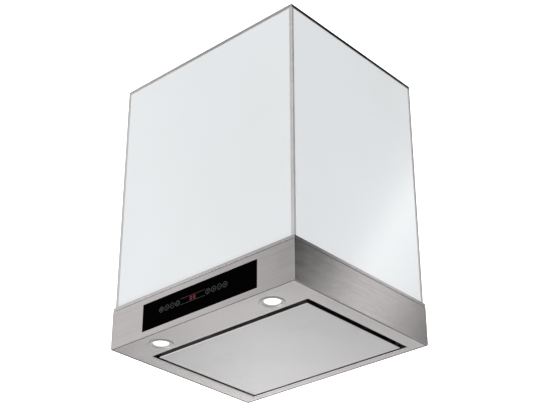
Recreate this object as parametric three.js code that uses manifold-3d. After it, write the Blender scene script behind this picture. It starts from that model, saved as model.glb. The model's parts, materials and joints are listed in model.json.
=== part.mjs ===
// Island range hood: a square-edged stainless base with a perimeter suction panel, carried from the
// ceiling by a steel frame that four white glass panels close in.
// Millimetres, +Z up, +X to the right along the control side, +Y towards the back.
// The origin is the centre of the ceiling plate's top face, so everything hangs below it.
import * as THREE from "three";
import { mergeVertices } from "three/addons/utils/BufferGeometryUtils.js";
import Module from "manifold-3d";

const wasm = await Module();
wasm.setup();

// Overall sizes
const hoodWidth = 600;
const hoodDepth = 500;
const overallHeight = 765; // ceiling to the underside of the base
const gap = 0.3; // between pieces that touch

// Base
const skinHeight = 102;
const skinThickness = 1.2;
const topFlangeWidth = 12;
const frontStrip = 98; // front edge of the base to the suction opening
const rearStrip = 24;
const sideStrip = 45;
const outerFlangeHeight = 12;
const openingFlangeHeight = 30;
const deckThickness = 1.5;

// Glass tower
const lipHeight = 10;
const lipWidth = 12.6;
const towerInset = 4; // the tower stands back from the lip on every side
const postBead = 1.1; // how much wider a corner post is on each face than its glass seat is deep
const postFin = 14;
const finThickness = 1.5;
const glassThickness = 6;
const glassRecess = 0.6;
const topRailHeight = 10;
const ceilingShadow = 0.5; // the top rail stops this far below the ceiling

// Carrying frame
const ceilingPlateThickness = 2;
const ceilingPlateFlange = 18;
const ceilingScrewRadius = 4.5;
const ceilingScrewInset = 50;
const cableHoleRadius = 11;
const uprightLeg = 20;
const uprightThickness = 2;
const braceThickness = 2;
const braceHeight = 25;
const braceLevel = 500;

// Touch control
const controlWidth = 376;
const controlHeight = 72;
const controlGlassThickness = 4;
const controlProud = 0.5;
const controlBoxMargin = 8;
const controlBoxDepth = 18;

// Lamps
const lampSpread = 182; // each lamp's distance from the middle
const lampSetback = 59; // from the front edge of the base
const lampHoleRadius = 27;
const lampFlangeWidth = 3.3;
const lampFlangeThickness = 1.2;
const lampWindowRadius = 21;
const lampLensThickness = 2;
const lampRingDepth = 10;
const lampHousingHeight = 30;
const lampWall = 1.5;

// Suction panel
const suctionGap = 13;
const panelDrop = 2; // how far the panel stands below the base
const panelTopLevel = 18;
const panelSkin = 1;
const panelReturn = 8;
const stiffenerWidth = 44;
const stiffenerHeight = 11;
const stiffenerFoot = 9;
const stiffenerSpread = 120;
const hingeSetback = 10; // panel's back edge to the hinge line
const hingeLevel = 8;
const hingePinRadius = 3;
const hingeHeadRadius = 4.8;
const hingeHeadThickness = 1.4;
const pinClearance = 0.3;
const hingeBracketThickness = 2;
const hingeBracketLength = 30;
const hingeBracketHeight = 24;
const magnetWidth = 40;
const magnetReach = 30;
const magnetHeight = 9;
const magnetInset = 42;

// Grease filters
const bayMargin = 5; // side walls of the filter frame to the suction opening
const bayEndMargin = 36;
const filterFrameWall = 1.5;
const filterFrameLip = 12;
const filterThickness = 9;
const filterLevel = 65.7; // underside of the filters
const filterClearance = 2;
const filterHeadroom = 2.3;
const filterRim = 14;
const filterRecess = 3;
const dividerWidth = 16;
const ledgeReach = 10;
const latchWidth = 62;
const latchDepth = 15;
const latchHeight = 7.6;
const latchTravel = 6;
const latchNoseWidth = 22;
const latchNose = 0.4;
const latchNoseHeight = 3;

// Blower
const impellerRadius = 85;
const impellerInnerRadius = 68;
const impellerWidth = 128;
const impellerRing = 4;
const impellerDisc = 2.5;
const bladeCount = 30;
const bladeThickness = 1.6;
const bladePitch = 35; // degrees from the radius
const hubRadius = 14;
const hubLength = 12;
const shaftRadius = 4;
const scrollWall = 2;
const scrollEndRoom = 8; // side wall to impeller
const tongueGap = 10;
const tongueAngle = 60; // degrees above the shaft, on the outlet side
const scrollGrowth = 55;
const scrollOutletRise = 140;
const scrollFloorRoom = 16;
const inletRadius = 72;
const motorRadius = 45;
const motorEndRadius = 30;
const motorEndLength = 8;
const motorHubRoom = 2;
const bracketArmWidth = 16;
const bracketThickness = 2;
const bracketReach = 16;
const boxWall = 1.2;
const boxSideRoom = 115;
const boxEndRoom = 26;
const boxFoot = 15;
const deckHoleInset = 18;

// Outlet collar with its back-draught flaps
const collarRadius = 75;
const collarWall = 1.5;
const collarHeight = 70;
const collarFoot = 12;
const collarFootThickness = 1.5;
const flapLevel = 26; // hinge pin above the collar's foot
const flapThickness = 1.2;
const flapClearance = 2.5;
const flapPinRadius = 2.4;
const flapPinClearance = 0.8;

// Electrics on the deck
const sideBoxClearance = 8; // from the blower box's foot
const terminalWidth = 46;
const terminalLength = 90;
const terminalHeight = 34;
const terminalWall = 2;
const terminalSetback = 110;
const glandRadius = 9;
const glandBore = 4.5;
const glandFlangeRadius = 13;
const glandHeight = 20;
const driverWidth = 42;
const driverLength = 130;
const driverHeight = 26;
const driverChamfer = 5;

// Levels and places that follow from the sizes above
const deckTop = skinHeight - skinThickness - gap;
const deckBottom = deckTop - deckThickness;
const lipTop = skinHeight + lipHeight;
const towerWidth = hoodWidth - 2 * towerInset;
const towerDepth = hoodDepth - 2 * towerInset;
const finDepth = glassRecess + glassThickness + gap; // tower face to the front of the fins
const railWidth = finDepth + finThickness;
const postFace = finDepth + postBead;
const topRailTop = overallHeight - ceilingShadow;
const topRailBottom = topRailTop - topRailHeight;
const plateWidth = towerWidth - 2 * (railWidth + gap);
const plateDepth = towerDepth - 2 * (railWidth + gap);
const uprightX = plateWidth / 2 - ceilingPlateThickness - gap;
const uprightY = plateDepth / 2 - ceilingPlateThickness - gap;
const openingWidth = hoodWidth - 2 * sideStrip;
const openingDepth = hoodDepth - frontStrip - rearStrip;
const openingFront = -hoodDepth / 2 + frontStrip;
const openingBack = hoodDepth / 2 - rearStrip;
const openingMiddle = (openingFront + openingBack) / 2;
const panelWidth = openingWidth - 2 * suctionGap;
const panelDepth = openingDepth - 2 * suctionGap;
const hingeY = openingBack - suctionGap - hingeSetback;
const bayWidth = openingWidth - 2 * bayMargin;
const bayDepth = openingDepth - 2 * bayEndMargin;
const filterTop = filterLevel + filterThickness;
const filterSeatLevel = filterTop + filterHeadroom;
const filterSeatTop = filterSeatLevel + filterFrameWall;
const scrollWidth = impellerWidth + 2 * (scrollEndRoom + scrollWall);
const scrollStart = impellerRadius + tongueGap;
const scrollEnd = scrollStart + scrollGrowth;
const tongueY = scrollStart * Math.cos(THREE.MathUtils.degToRad(tongueAngle));
const scrollLowest = spiralRadius(270);
const shaftLevel = deckTop + scrollFloorRoom + scrollLowest;
const scrollTop = shaftLevel + scrollOutletRise;
const ductY = (tongueY + scrollEnd) / 2;
const boxWidth = scrollWidth + 2 * boxSideRoom;
const boxFront = -spiralRadius(180) - boxEndRoom;
const boxBack = scrollEnd + boxEndRoom;
const boxMiddle = (boxFront + boxBack) / 2;
const boxDepth = boxBack - boxFront;
const boxTop = scrollTop + gap + boxWall;
const collarBottom = boxTop + gap;
const collarBore = collarRadius - collarWall;
const sideBoxX = boxWidth / 2 + boxFoot + sideBoxClearance;

const finishes = {
  stainless: new THREE.MeshStandardMaterial({ color: 0xa8a3a0, roughness: 0.35, metalness: 1 }),
  satinTrim: new THREE.MeshStandardMaterial({ color: 0xb4b2b0, roughness: 0.3, metalness: 1 }),
  whiteGlass: new THREE.MeshStandardMaterial({ color: 0xeef1f3, roughness: 0.08, metalness: 0 }),
  blackGlass: new THREE.MeshStandardMaterial({ color: 0x060607, roughness: 0.05, metalness: 0 }),
  lampLens: new THREE.MeshStandardMaterial({ color: 0xfffdf6, roughness: 0.3, metalness: 0 }),
  galvanised: new THREE.MeshStandardMaterial({ color: 0x9aa0a3, roughness: 0.5, metalness: 0.9 }),
  blackPaint: new THREE.MeshStandardMaterial({ color: 0x1b1b1c, roughness: 0.6, metalness: 0 }),
  aluminium: new THREE.MeshStandardMaterial({ color: 0xc6c8ca, roughness: 0.4, metalness: 1 }),
  darkPlastic: new THREE.MeshStandardMaterial({ color: 0x26272a, roughness: 0.55, metalness: 0 }),
  greyPlastic: new THREE.MeshStandardMaterial({ color: 0x8d9092, roughness: 0.55, metalness: 0 }),
  shaftSteel: new THREE.MeshStandardMaterial({ color: 0xd0d1d2, roughness: 0.2, metalness: 1 }),
};

// Solid modelling helpers

function solidFrom(geometry) {
  const bare = geometry.clone();
  bare.deleteAttribute("normal");
  bare.deleteAttribute("uv");
  const merged = mergeVertices(bare, 1e-4);
  return new wasm.Manifold(
    new wasm.Mesh({
      numProp: 3,
      vertProperties: merged.getAttribute("position").array,
      triVerts: new Uint32Array(merged.index.array),
    }),
  );
}

function geometryFrom(solid) {
  const mesh = solid.getMesh();
  const geometry = new THREE.BufferGeometry();
  geometry.setAttribute("position", new THREE.BufferAttribute(mesh.vertProperties, 3));
  geometry.setIndex(new THREE.BufferAttribute(mesh.triVerts, 1));
  return geometry;
}

function join(...geometries) {
  return geometryFrom(geometries.map(solidFrom).reduce((all, one) => all.add(one)));
}

function cut(body, ...tools) {
  return geometryFrom(tools.map(solidFrom).reduce((left, tool) => left.subtract(tool), solidFrom(body)));
}

function block(x0, x1, y0, y1, z0, z1) {
  const geometry = new THREE.BoxGeometry(x1 - x0, y1 - y0, z1 - z0);
  return geometry.translate((x0 + x1) / 2, (y0 + y1) / 2, (z0 + z1) / 2);
}

function rectangle(width, depth, middleY = 0, middleX = 0) {
  const [left, right] = [middleX - width / 2, middleX + width / 2];
  const [front, back] = [middleY - depth / 2, middleY + depth / 2];
  return new THREE.Shape().moveTo(left, front).lineTo(right, front).lineTo(right, back).lineTo(left, back);
}

function slab(shape, z0, z1) {
  return new THREE.ExtrudeGeometry(shape, { depth: z1 - z0, bevelEnabled: false }).translate(0, 0, z0);
}

// A rectangular ring between two rectangles about the same middle.
function ring(width, depth, border, z0, z1, middleY = 0) {
  const shape = rectangle(width, depth, middleY);
  shape.holes.push(rectangle(width - 2 * border, depth - 2 * border, middleY));
  return slab(shape, z0, z1);
}

function uprightCylinder(radius, z0, z1, x = 0, y = 0, sides = 48) {
  const geometry = new THREE.CylinderGeometry(radius, radius, z1 - z0, sides);
  return geometry.rotateX(Math.PI / 2).translate(x, y, (z0 + z1) / 2);
}

function crossCylinder(radius, x0, x1, sides = 48) {
  const geometry = new THREE.CylinderGeometry(radius, radius, x1 - x0, sides);
  return geometry.rotateZ(Math.PI / 2).translate((x0 + x1) / 2, 0, 0);
}

// A profile of [radius, height] pairs turned about Z; it closes on itself.
function turned(profile, sides = 48) {
  const points = [...profile, profile[0]].map(([r, z]) => new THREE.Vector2(r, z));
  return new THREE.LatheGeometry(points, sides).rotateX(Math.PI / 2);
}

// Shapes drawn in Y and Z are extruded along X.
function alongX(shape, x0, x1) {
  const drawnToRow = new THREE.Matrix4().makeBasis(
    new THREE.Vector3(0, 1, 0),
    new THREE.Vector3(0, 0, 1),
    new THREE.Vector3(1, 0, 0),
  );
  return slab(shape, x0, x1).applyMatrix4(drawnToRow);
}

const hood = new THREE.Group();
hood.position.z = -overallHeight; // heights below are counted up from the underside of the base

function place(name, geometry, finish, position = [0, 0, 0]) {
  const mesh = new THREE.Mesh(geometry, finish.clone());
  mesh.name = name;
  mesh.position.set(...position);
  hood.add(mesh);
}

const sides = { left: -1, right: 1 };
const ends = { front: -1, back: 1 };

function buildBase() {
  const window = block(
    -controlWidth / 2 - gap,
    controlWidth / 2 + gap,
    -hoodDepth / 2 - 1,
    -hoodDepth / 2 + skinThickness + 1,
    skinHeight / 2 - controlHeight / 2 - gap,
    skinHeight / 2 + controlHeight / 2 + gap,
  );
  const walls = ring(hoodWidth, hoodDepth, skinThickness, 0, skinHeight);
  const topFlange = ring(hoodWidth, hoodDepth, topFlangeWidth, skinHeight - skinThickness, skinHeight);
  place("base_shell", cut(join(walls, topFlange), window), finishes.stainless);
  place("bottom_frame", bottomFrame(), finishes.stainless);
  place("base_deck", baseDeck(), finishes.galvanised);
  place("lip_rail", ring(hoodWidth, hoodDepth, lipWidth, skinHeight + gap, lipTop), finishes.stainless);
}

function bottomFrame() {
  const width = hoodWidth - 2 * (skinThickness + gap);
  const depth = hoodDepth - 2 * (skinThickness + gap);
  const plate = rectangle(width, depth);
  plate.holes.push(rectangle(openingWidth, openingDepth, openingMiddle));
  const openingFlange = ring(
    openingWidth + 2 * skinThickness,
    openingDepth + 2 * skinThickness,
    skinThickness,
    0,
    openingFlangeHeight,
    openingMiddle,
  );
  const lampHoles = Object.values(sides).map((side) =>
    uprightCylinder(lampHoleRadius, -1, skinThickness + 1, side * lampSpread, lampY()),
  );
  const outerFlange = ring(width, depth, skinThickness, 0, outerFlangeHeight);
  return cut(join(slab(plate, 0, skinThickness), outerFlange, openingFlange), ...lampHoles);
}

function baseDeck() {
  const border = skinThickness + gap;
  const deck = rectangle(hoodWidth - 2 * border, hoodDepth - 2 * border);
  deck.holes.push(rectangle(boxWidth - 2 * deckHoleInset, boxDepth - 2 * deckHoleInset, boxMiddle));
  return slab(deck, deckBottom, deckTop);
}

function buildTower() {
  for (const [side, sx] of Object.entries(sides)) {
    for (const [end, sy] of Object.entries(ends)) {
      place("corner_post_" + end + "_" + side, cornerPost(sx, sy), finishes.satinTrim);
    }
  }
  const bottom = lipTop + gap;
  const top = topRailBottom - gap;
  const halfWidth = towerWidth / 2 - postFace - gap;
  const halfDepth = towerDepth / 2 - postFace - gap;
  for (const [end, sy] of Object.entries(ends)) {
    const panel = block(-halfWidth, halfWidth, -glassThickness / 2, glassThickness / 2, bottom, top);
    const y = sy * (towerDepth / 2 - glassRecess - glassThickness / 2);
    place("glass_panel_" + end, panel, finishes.whiteGlass, [0, y, 0]);
  }
  for (const [side, sx] of Object.entries(sides)) {
    const panel = block(-glassThickness / 2, glassThickness / 2, -halfDepth, halfDepth, bottom, top);
    const x = sx * (towerWidth / 2 - glassRecess - glassThickness / 2);
    place("glass_panel_" + side, panel, finishes.whiteGlass, [x, 0, 0]);
  }
  const rail = ring(towerWidth, towerDepth, railWidth, topRailBottom, topRailTop);
  place("top_rail", rail, finishes.satinTrim);
}

// A solid corner bead with two fins that run behind the glass. sx and sy point to its corner.
function cornerPost(sx, sy) {
  const finEnd = postFace + postFin;
  const outline = [
    [0, 0],
    [postFace, 0],
    [postFace, finDepth],
    [finEnd, finDepth],
    [finEnd, railWidth],
    [railWidth, railWidth],
    [railWidth, finEnd],
    [finDepth, finEnd],
    [finDepth, postFace],
    [0, postFace],
  ];
  const corner = outline.map(
    ([x, y]) => new THREE.Vector2(sx * (towerWidth / 2 - x), sy * (towerDepth / 2 - y)),
  );
  return slab(new THREE.Shape(corner), lipTop + gap, topRailBottom - gap);
}

function buildCarryingFrame() {
  place("ceiling_plate", ceilingPlate(), finishes.galvanised);
  for (const [side, sx] of Object.entries(sides)) {
    for (const [end, sy] of Object.entries(ends)) {
      place("upright_" + end + "_" + side, uprightAngle(sx, sy), finishes.galvanised);
    }
  }
  const braceX = uprightX - uprightThickness - gap;
  const braceY = uprightY - uprightThickness - gap;
  const top = braceLevel + braceHeight;
  for (const [end, sy] of Object.entries(ends)) {
    const bar = block(-braceX, braceX, -braceThickness / 2, braceThickness / 2, braceLevel, top);
    place("brace_" + end, bar, finishes.galvanised, [0, sy * (braceY - braceThickness / 2), 0]);
  }
  const sideReach = braceY - braceThickness - gap;
  for (const [side, sx] of Object.entries(sides)) {
    const bar = block(-braceThickness / 2, braceThickness / 2, -sideReach, sideReach, braceLevel, top);
    place("brace_" + side, bar, finishes.galvanised, [sx * (braceX - braceThickness / 2), 0, 0]);
  }
}

function ceilingPlate() {
  const plate = rectangle(plateWidth, plateDepth);
  const under = overallHeight - ceilingPlateThickness;
  const body = join(
    slab(plate, under, overallHeight),
    ring(plateWidth, plateDepth, ceilingPlateThickness, overallHeight - ceilingPlateFlange, overallHeight),
  );
  const holes = [uprightCylinder(collarRadius + 5, under - 1, overallHeight + 1, 0, ductY)];
  const screwX = plateWidth / 2 - ceilingScrewInset;
  const screwY = plateDepth / 2 - ceilingScrewInset;
  for (const x of [-screwX, screwX]) {
    for (const y of [-screwY, screwY]) {
      holes.push(uprightCylinder(ceilingScrewRadius, under - 1, overallHeight + 1, x, y, 20));
    }
  }
  holes.push(uprightCylinder(cableHoleRadius, under - 1, overallHeight + 1, terminalX(), terminalY(), 24));
  return cut(body, ...holes);
}

function uprightAngle(sx, sy) {
  const outline = [
    [0, 0],
    [uprightLeg, 0],
    [uprightLeg, uprightThickness],
    [uprightThickness, uprightThickness],
    [uprightThickness, uprightLeg],
    [0, uprightLeg],
  ];
  const corner = outline.map(([x, y]) => new THREE.Vector2(sx * (uprightX - x), sy * (uprightY - y)));
  return slab(new THREE.Shape(corner), deckTop + gap, overallHeight - ceilingPlateThickness - gap);
}

function buildControl() {
  const face = -hoodDepth / 2 - controlProud;
  const glassBack = face + controlGlassThickness;
  const middle = skinHeight / 2;
  const glass = block(
    -controlWidth / 2,
    controlWidth / 2,
    face,
    glassBack,
    middle - controlHeight / 2,
    middle + controlHeight / 2,
  );
  place("control_glass", glass, finishes.blackGlass);
  const halfWidth = controlWidth / 2 - controlBoxMargin;
  const halfHeight = controlHeight / 2 - controlBoxMargin;
  const boxFace = glassBack + gap;
  const housing = block(
    -halfWidth,
    halfWidth,
    boxFace,
    boxFace + controlBoxDepth,
    middle - halfHeight,
    middle + halfHeight,
  );
  place("control_housing", housing, finishes.darkPlastic);
}

function lampY() {
  return -hoodDepth / 2 + lampSetback;
}

function buildLamps() {
  const sleeve = lampHoleRadius - gap;
  const seat = 3; // height of the ledge that the lens lies on
  const sleeveBore = sleeve - lampWall - 1.9;
  const flangeRadius = lampHoleRadius + lampFlangeWidth;
  const profile = [
    [flangeRadius, -gap],
    [flangeRadius, -gap - lampFlangeThickness],
    [sleeve - lampWall, -gap - lampFlangeThickness],
    [lampWindowRadius, seat - 0.5],
    [lampWindowRadius, seat],
    [sleeveBore, seat],
    [sleeveBore, lampRingDepth],
    [sleeve, lampRingDepth],
    [sleeve, -gap],
  ].reverse();
  const housingBottom = lampRingDepth + gap;
  const housingTop = housingBottom + lampHousingHeight;
  for (const [side, sx] of Object.entries(sides)) {
    const at = [sx * lampSpread, lampY(), 0];
    place("lamp_ring_" + side, turned(profile), finishes.satinTrim, at);
    const lens = uprightCylinder(sleeveBore - gap, seat + gap, seat + gap + lampLensThickness);
    place("lamp_lens_" + side, lens, finishes.lampLens, at);
    const housing = cut(
      uprightCylinder(sleeve, housingBottom, housingTop),
      uprightCylinder(sleeveBore, housingBottom - 1, housingTop - lampWall),
    );
    place("lamp_housing_" + side, housing, finishes.aluminium, at);
  }
}

function buildSuctionPanel() {
  place("suction_panel", panelTray(), finishes.stainless, [0, openingMiddle, 0]);
  const reach = panelDepth / 2 - panelReturn - 6;
  const floor = -panelDrop + panelSkin + gap;
  for (const [side, sx] of Object.entries(sides)) {
    const stiffener = slab(hatSection(), -reach, reach).rotateX(Math.PI / 2);
    const at = [sx * stiffenerSpread, openingMiddle, floor];
    place("panel_stiffener_" + side, stiffener, finishes.galvanised, at);
  }
  for (const [side, sx] of Object.entries(sides)) {
    place("hinge_bracket_" + side, hingeBracket(sx), finishes.blackPaint, [0, hingeY, 0]);
    place("hinge_pin_" + side, hingePin(sx), finishes.shaftSteel, [0, hingeY, hingeLevel]);
    const x = sx * (panelWidth / 2 - magnetInset);
    const magnet = join(
      block(-magnetWidth / 2, magnetWidth / 2, gap, magnetReach, 0, magnetHeight),
      block(-magnetWidth / 2, magnetWidth / 2, gap, gap + 2, 0, magnetHeight + 2),
    );
    place("panel_magnet_" + side, magnet, finishes.blackPaint, [x, openingFront, panelTopLevel + 2 * gap]);
  }
}

function panelTray() {
  const lip = panelReturn;
  const walls = join(
    slab(rectangle(panelWidth, panelDepth), -panelDrop, -panelDrop + panelSkin),
    ring(panelWidth, panelDepth, panelSkin, -panelDrop, panelTopLevel),
    ring(panelWidth, panelDepth, lip, panelTopLevel - panelSkin, panelTopLevel),
  );
  const localHingeY = hingeY - openingMiddle;
  const hole = crossCylinder(hingePinRadius + pinClearance, -panelWidth / 2 - 1, panelWidth / 2 + 1, 24);
  return cut(walls, hole.translate(0, localHingeY, hingeLevel));
}

// Hat section with its brim on the panel, drawn in X and Z.
function hatSection() {
  const half = stiffenerWidth / 2;
  const crown = half - stiffenerFoot;
  const wall = panelSkin;
  const outline = [
    [-half, 0],
    [-crown + wall, 0],
    [-crown + wall, stiffenerHeight - wall],
    [crown - wall, stiffenerHeight - wall],
    [crown - wall, 0],
    [half, 0],
    [half, wall],
    [crown, wall],
    [crown, stiffenerHeight],
    [-crown, stiffenerHeight],
    [-crown, wall],
    [-half, wall],
  ];
  return new THREE.Shape(outline.map(([x, z]) => new THREE.Vector2(x, z)));
}

function hingeBracket(sx) {
  const outside = openingWidth / 2 - gap;
  const inside = outside - hingeBracketThickness;
  const half = hingeBracketLength / 2;
  const top = hingeLevel + hingeBracketHeight - half / 2;
  const [left, right] = [sx * inside, sx * outside].sort((a, b) => a - b);
  const plate = block(left, right, -half, half, 2, top);
  const bore = crossCylinder(hingePinRadius + gap, -openingWidth, openingWidth, 24);
  return cut(plate, bore.translate(0, 0, hingeLevel));
}

// The pin runs from the bracket through the tray's side wall and ends in a head inside it.
function hingePin(sx) {
  const outside = openingWidth / 2 - gap;
  const headOutside = panelWidth / 2 - panelSkin - gap;
  const headInside = headOutside - hingeHeadThickness;
  const stem = crossCylinder(hingePinRadius, headInside, outside, 24);
  const pin = join(stem, crossCylinder(hingeHeadRadius, headInside, headOutside, 24));
  return sx > 0 ? pin : pin.rotateZ(Math.PI);
}

function buildFilters() {
  place("filter_frame", filterFrame(), finishes.galvanised, [0, openingMiddle, 0]);
  place("filter_seat", filterSeat(), finishes.galvanised, [0, openingMiddle, 0]);
  const innerHalf = bayWidth / 2 - filterFrameWall;
  const width = innerHalf - dividerWidth / 2 - 2 * filterClearance;
  const depth = bayDepth - 2 * filterFrameWall - 2 * filterClearance;
  const middleX = (innerHalf + dividerWidth / 2) / 2;
  for (const [side, sx] of Object.entries(sides)) {
    const at = [sx * middleX, openingMiddle, filterLevel];
    place("grease_filter_" + side, greaseFilter(width, depth), finishes.aluminium, at);
    place("filter_latch_" + side, filterLatch(depth), finishes.darkPlastic, at);
  }
}

// Walls round both filters, a wall between their airways and the ledge they rest on at the back.
function filterFrame() {
  const top = deckBottom - gap;
  const bottom = filterLevel - gap - filterFrameWall;
  const half = bayDepth / 2;
  const bite = filterFrameWall / 2; // how far inner pieces run into the walls
  const ledgeFront = half - filterFrameWall - ledgeReach;
  const ledgeX = bayWidth / 2 - bite;
  return join(
    ring(bayWidth, bayDepth, filterFrameWall, bottom, top),
    block(-bite, bite, -half + bite, half - bite, filterSeatTop + gap, top - 1),
    block(-ledgeX, ledgeX, ledgeFront, half - bite, bottom + gap, filterLevel - gap),
  );
}

// A flat plate with two windows, which the filters seal against.
function filterSeat() {
  const windowWidth = (bayWidth - dividerWidth) / 2 - filterFrameLip;
  const windowShape = (middleX) => rectangle(windowWidth, bayDepth - 2 * filterFrameLip, 0, middleX);
  const windows = Object.values(sides).map((sx) =>
    slab(windowShape((sx * (dividerWidth + windowWidth)) / 2), filterSeatLevel - 1, filterSeatTop + 1),
  );
  const inset = 2 * (filterFrameWall + gap);
  return cut(slab(rectangle(bayWidth - inset, bayDepth - inset), filterSeatLevel, filterSeatTop), ...windows);
}

function greaseFilter(width, depth) {
  const meshWidth = width - 2 * filterRim;
  const meshDepth = depth - 3 * filterRim;
  const meshMiddle = filterRim / 2;
  const recess = (z0, z1) => slab(rectangle(meshWidth, meshDepth, meshMiddle), z0, z1);
  const notchWidth = latchWidth + 2;
  const notch = block(
    -notchWidth / 2,
    notchWidth / 2,
    -depth / 2 - 1,
    -depth / 2 + latchDepth + latchTravel + 2,
    -1,
    filterThickness + 1,
  );
  return cut(
    slab(rectangle(width, depth), 0, filterThickness),
    recess(-1, filterRecess),
    recess(filterThickness - filterRecess, filterThickness + 1),
    notch,
  );
}

function filterLatch(depth) {
  const front = -depth / 2;
  const low = (filterThickness - latchHeight) / 2;
  const nose = (filterThickness - latchNoseHeight) / 2;
  const body = block(-latchWidth / 2, latchWidth / 2, front + 1, front + latchDepth, low, low + latchHeight);
  const dishHalf = latchWidth / 3;
  const fingerDish = block(-dishHalf, dishHalf, front + 5, front + latchDepth - 3, low - 1, low + 3);
  const bolt = block(
    -latchNoseWidth / 2,
    latchNoseWidth / 2,
    front - latchNose,
    front + 2,
    nose,
    nose + latchNoseHeight,
  );
  return join(cut(body, fingerDish), bolt);
}

// Radius of the scroll at an angle in degrees, counted from the outlet side the way the air turns.
function spiralRadius(angle) {
  const start = impellerRadius + tongueGap;
  return start + (scrollGrowth * (angle - tongueAngle)) / (360 - tongueAngle);
}

function spiralPoint(angle, inset) {
  const radius = spiralRadius(angle) - inset;
  const turn = THREE.MathUtils.degToRad(angle);
  return new THREE.Vector2(radius * Math.cos(turn), radius * Math.sin(turn));
}

function scrollOutline(inset, rise) {
  const points = [];
  for (let angle = tongueAngle; angle <= 360; angle += 7.5) {
    points.push(spiralPoint(angle, inset));
  }
  points.push(new THREE.Vector2(scrollEnd - inset, rise));
  points.push(new THREE.Vector2(tongueY + inset, rise));
  if (inset > 0) {
    points.push(new THREE.Vector2(tongueY + inset, spiralPoint(tongueAngle, inset).y - inset / 4));
  }
  return new THREE.Shape(points);
}

function buildBlower() {
  const half = scrollWidth / 2;
  const shaftAt = [0, 0, shaftLevel];
  const scroll = cut(
    alongX(scrollOutline(0, scrollOutletRise), -half, half),
    alongX(scrollOutline(scrollWall, scrollOutletRise + 5), -half + scrollWall, half - scrollWall),
    crossCylinder(inletRadius, -half - 1, half + 1),
  );
  place("blower_scroll", scroll, finishes.galvanised, shaftAt);
  place("impeller", impeller(), finishes.darkPlastic, shaftAt);
  const motorInside = -impellerDisc / 2 - hubLength / 2 - motorHubRoom;
  const shaft = crossCylinder(shaftRadius, -half + motorEndLength, hubLength, 24);
  place("impeller_shaft", shaft, finishes.shaftSteel, shaftAt);
  const motor = cut(
    join(
      crossCylinder(motorRadius, -half + motorEndLength, motorInside),
      crossCylinder(motorEndRadius, -half, -half + motorEndLength + 1),
    ),
    crossCylinder(shaftRadius + gap, -half + motorEndLength - gap, motorInside + 1, 24),
  );
  place("fan_motor", motor, finishes.galvanised, shaftAt);
  place("motor_bracket", motorBracket(), finishes.galvanised, shaftAt);
  place("blower_box", blowerBox(), finishes.galvanised);
}

function impeller() {
  const half = impellerWidth / 2;
  const midRadius = (impellerRadius + impellerInnerRadius) / 2;
  const bladeLength = impellerRadius - impellerInnerRadius;
  const bladeShape = new THREE.BoxGeometry(impellerWidth - 1, bladeLength, bladeThickness);
  const pieces = [
    crossCylinder(impellerRadius, -impellerDisc / 2, impellerDisc / 2),
    crossCylinder(hubRadius, -impellerDisc / 2 - hubLength / 2, impellerDisc / 2 + hubLength / 2),
  ];
  for (const x of [-half, half - impellerRing]) {
    pieces.push(
      cut(
        crossCylinder(impellerRadius, x, x + impellerRing),
        crossCylinder(midRadius, x - 1, x + impellerRing + 1),
      ),
    );
  }
  for (let i = 0; i < bladeCount; i += 1) {
    const blade = bladeShape.clone().rotateX(THREE.MathUtils.degToRad(bladePitch));
    pieces.push(blade.translate(0, midRadius, 0).rotateX((2 * Math.PI * i) / bladeCount));
  }
  return cut(join(...pieces), crossCylinder(shaftRadius + gap, -half, half, 24));
}

function motorBracket() {
  const inside = -scrollWidth / 2 - gap;
  const outside = inside - bracketThickness;
  const arms = [];
  for (let i = 0; i < 3; i += 1) {
    const armHalf = bracketArmWidth / 2;
    const arm = block(outside, inside, -armHalf, armHalf, 0, inletRadius + bracketReach);
    arms.push(arm.rotateX((2 * Math.PI * i) / 3));
  }
  return join(crossCylinder(motorEndRadius, outside, inside), ...arms);
}

function blowerBox() {
  const bottom = deckTop + gap;
  const outer = slab(rectangle(boxWidth, boxDepth, boxMiddle), bottom, boxTop);
  const insideShape = rectangle(boxWidth - 2 * boxWall, boxDepth - 2 * boxWall, boxMiddle);
  const inside = slab(insideShape, bottom - 1, boxTop - boxWall);
  const foot = ring(
    boxWidth + 2 * boxFoot,
    boxDepth + 2 * boxFoot,
    boxFoot + boxWall,
    bottom,
    bottom + boxWall,
    boxMiddle,
  );
  const outletX = scrollWidth / 2 - scrollWall;
  const outlet = block(
    -outletX,
    outletX,
    tongueY + scrollWall,
    scrollEnd - scrollWall,
    boxTop - boxWall - 1,
    boxTop + 1,
  );
  return cut(join(cut(outer, inside), foot), outlet);
}

function buildCollar() {
  const footSide = 2 * (collarRadius + collarFoot);
  const footTop = collarBottom + collarFootThickness;
  const body = join(
    slab(rectangle(footSide, footSide), collarBottom, footTop),
    uprightCylinder(collarRadius, collarBottom, collarBottom + collarHeight),
  );
  const bore = uprightCylinder(collarBore, collarBottom - 1, collarBottom + collarHeight + 1);
  place("outlet_collar", cut(body, bore), finishes.galvanised, [0, ductY, 0]);
  const pinAt = [0, ductY, collarBottom + flapLevel];
  const pin = crossCylinder(flapPinRadius, -collarBore + gap, collarBore - gap, 24);
  place("flap_pin", pin, finishes.shaftSteel, pinAt);
  for (const [end, sy] of Object.entries(ends)) {
    place("damper_flap_" + end, damperFlap(sy), finishes.aluminium, pinAt);
  }
}

function damperFlap(sy) {
  const radius = collarBore - flapClearance;
  const inner = flapPinRadius + flapPinClearance;
  const start = Math.asin(inner / radius);
  const outline = new THREE.Shape().absarc(0, 0, radius, start, Math.PI - start, false);
  const flap = new THREE.ExtrudeGeometry(outline, {
    depth: flapThickness,
    bevelEnabled: false,
    curveSegments: 32,
  });
  flap.translate(0, 0, -flapThickness / 2);
  return sy > 0 ? flap : flap.rotateZ(Math.PI);
}

function terminalX() {
  return -sideBoxX - terminalWidth / 2;
}

function terminalY() {
  return terminalSetback;
}

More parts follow.
